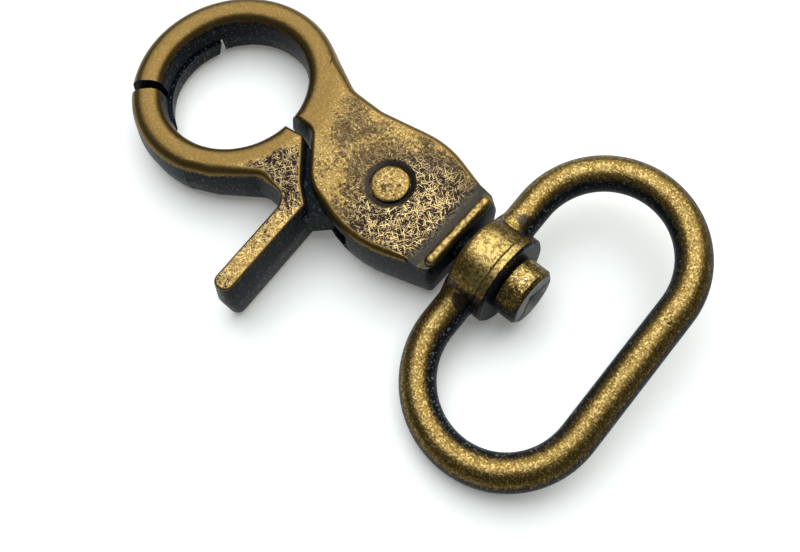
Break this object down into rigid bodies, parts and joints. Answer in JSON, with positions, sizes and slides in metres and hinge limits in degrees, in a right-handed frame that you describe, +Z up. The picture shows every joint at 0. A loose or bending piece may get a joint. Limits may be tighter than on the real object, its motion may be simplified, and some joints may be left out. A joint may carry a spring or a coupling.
{
  "type": "swivel snap hook",
  "caption": "Sprung scissor-jaw snap hook with a thumb tab and a swivelling oval wire loop for a strap, closed and lying flat.",
  "frame": {"origin": "on the flat underside of the body, on the axis of the pivot rivet", "axes": "+X from the pivot to the strap loop, +Y to the closed spine of the body, away from the thumb tab, +Z up out of the upper face"},
  "size_m": [0.07, 0.0409, 0.0106],
  "materials": {
    "antique_brass_body": "antique brass finish on a zinc alloy casting",
    "antique_brass_lever": "antique brass finish on a zinc alloy casting",
    "antique_brass_rivet": "antique brass finish, hammered head",
    "spring_steel": "drawn spring wire",
    "antique_brass_stud": "antique brass finish, darker end",
    "antique_brass_loop": "antique brass finish on a zinc alloy casting"
  },
  "bodies": {
    "body": {"hook_body": "antique_brass_body", "pivot_rivet": "antique_brass_rivet", "torsion_spring": "spring_steel", "swivel_stud": "antique_brass_stud"},
    "lever": {"trigger_lever": "antique_brass_lever"},
    "loop": {"swivel_loop": "antique_brass_loop"}
  },
  "joints": [
    {"name": "lever_pivot", "type": "hinge", "parent": "body", "child": "lever", "pos_m": [0, 0, 0.0034], "axis": [0, 0, 1], "range_deg": [0, 24], "stiffness_Nm_per_rad": 0.12, "springref_deg": -22.92, "deforming": ["torsion_spring"]},
    {"name": "loop_swivel", "type": "hinge", "parent": "body", "child": "loop", "pos_m": [0.014, 0.0006, 0.0034], "axis": [1, 0, 0], "continuous": true}
  ]
}
